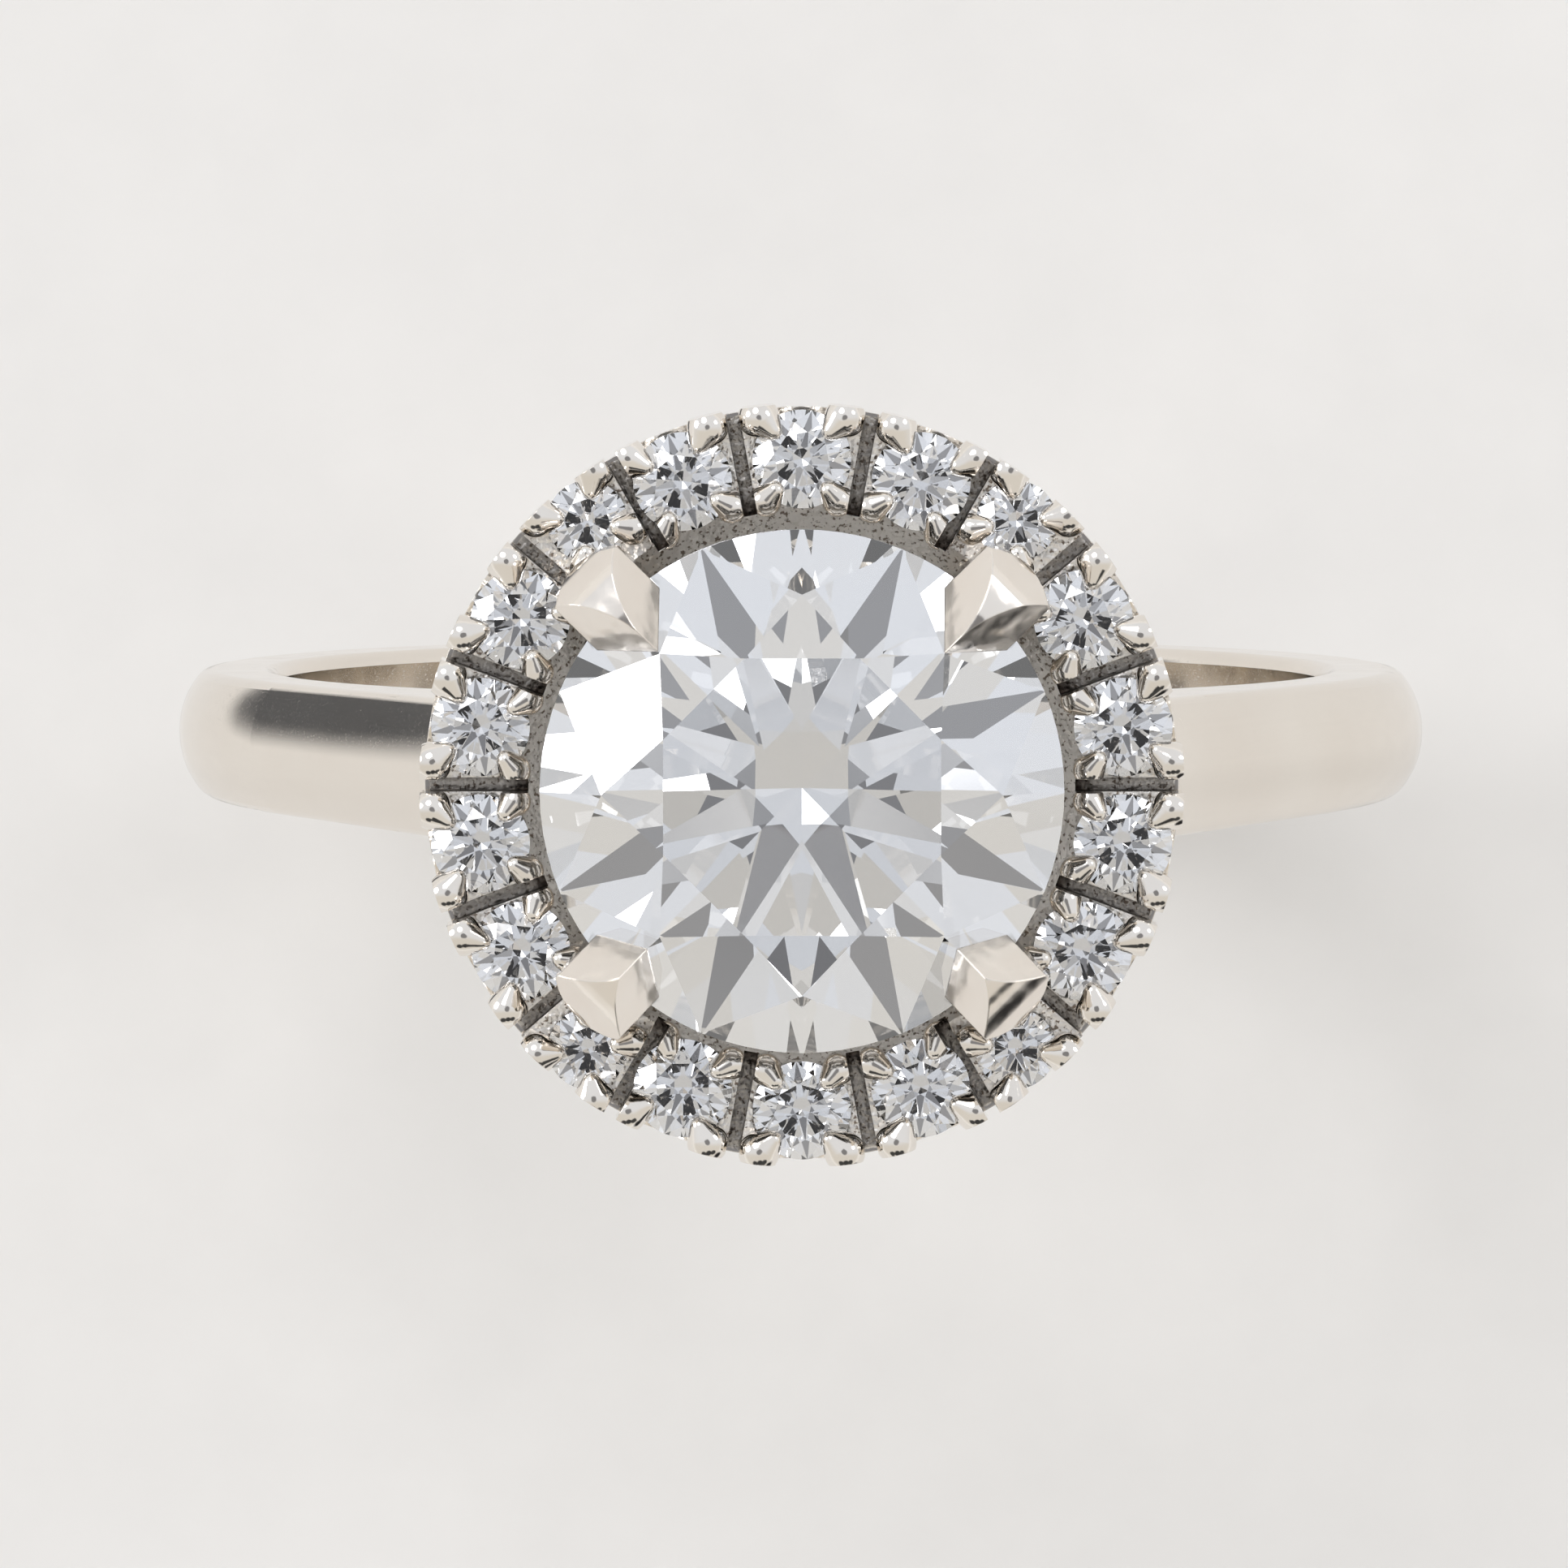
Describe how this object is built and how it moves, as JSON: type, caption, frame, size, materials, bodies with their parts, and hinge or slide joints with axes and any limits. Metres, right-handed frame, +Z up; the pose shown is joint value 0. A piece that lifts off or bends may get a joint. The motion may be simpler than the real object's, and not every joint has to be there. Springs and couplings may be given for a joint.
{
  "type": "engagement ring",
  "caption": "Halo engagement ring: a round brilliant in pointed claws, a round halo of small brilliants, and a plain cathedral shank.",
  "frame": {"origin": "centre of the finger hole, on the finger's axis and midway across the band", "axes": "+Z up through the centre stone, +Y along the finger, X across the finger"},
  "size_m": [0.019, 0.011, 0.0243],
  "materials": {
    "shank_gold": "polished",
    "head_gold": "polished",
    "claw_gold": "polished",
    "halo_gold": "polished",
    "centre_brilliant": "faceted, polished",
    "halo_brilliant": "faceted, polished"
  },
  "bodies": {
    "root": {"shank": "shank_gold", "finger_bridge": "head_gold", "base_ring": "head_gold", "gallery_rail": "head_gold", "claw_right_back": "claw_gold", "claw_left_back": "claw_gold", "claw_left_front": "claw_gold", "claw_right_front": "claw_gold", "halo_frame": "halo_gold", "centre_stone": "centre_brilliant", "halo_stone_01": "halo_brilliant", "halo_stone_02": "halo_brilliant", "halo_stone_03": "halo_brilliant", "halo_stone_04": "halo_brilliant", "halo_stone_05": "halo_brilliant", "halo_stone_06": "halo_brilliant", "halo_stone_07": "halo_brilliant", "halo_stone_08": "halo_brilliant", "halo_stone_09": "halo_brilliant", "halo_stone_10": "halo_brilliant", "halo_stone_11": "halo_brilliant", "halo_stone_12": "halo_brilliant", "halo_stone_13": "halo_brilliant", "halo_stone_14": "halo_brilliant", "halo_stone_15": "halo_brilliant", "halo_stone_16": "halo_brilliant", "halo_stone_17": "halo_brilliant", "halo_stone_18": "halo_brilliant"}
  },
  "joints": []
}
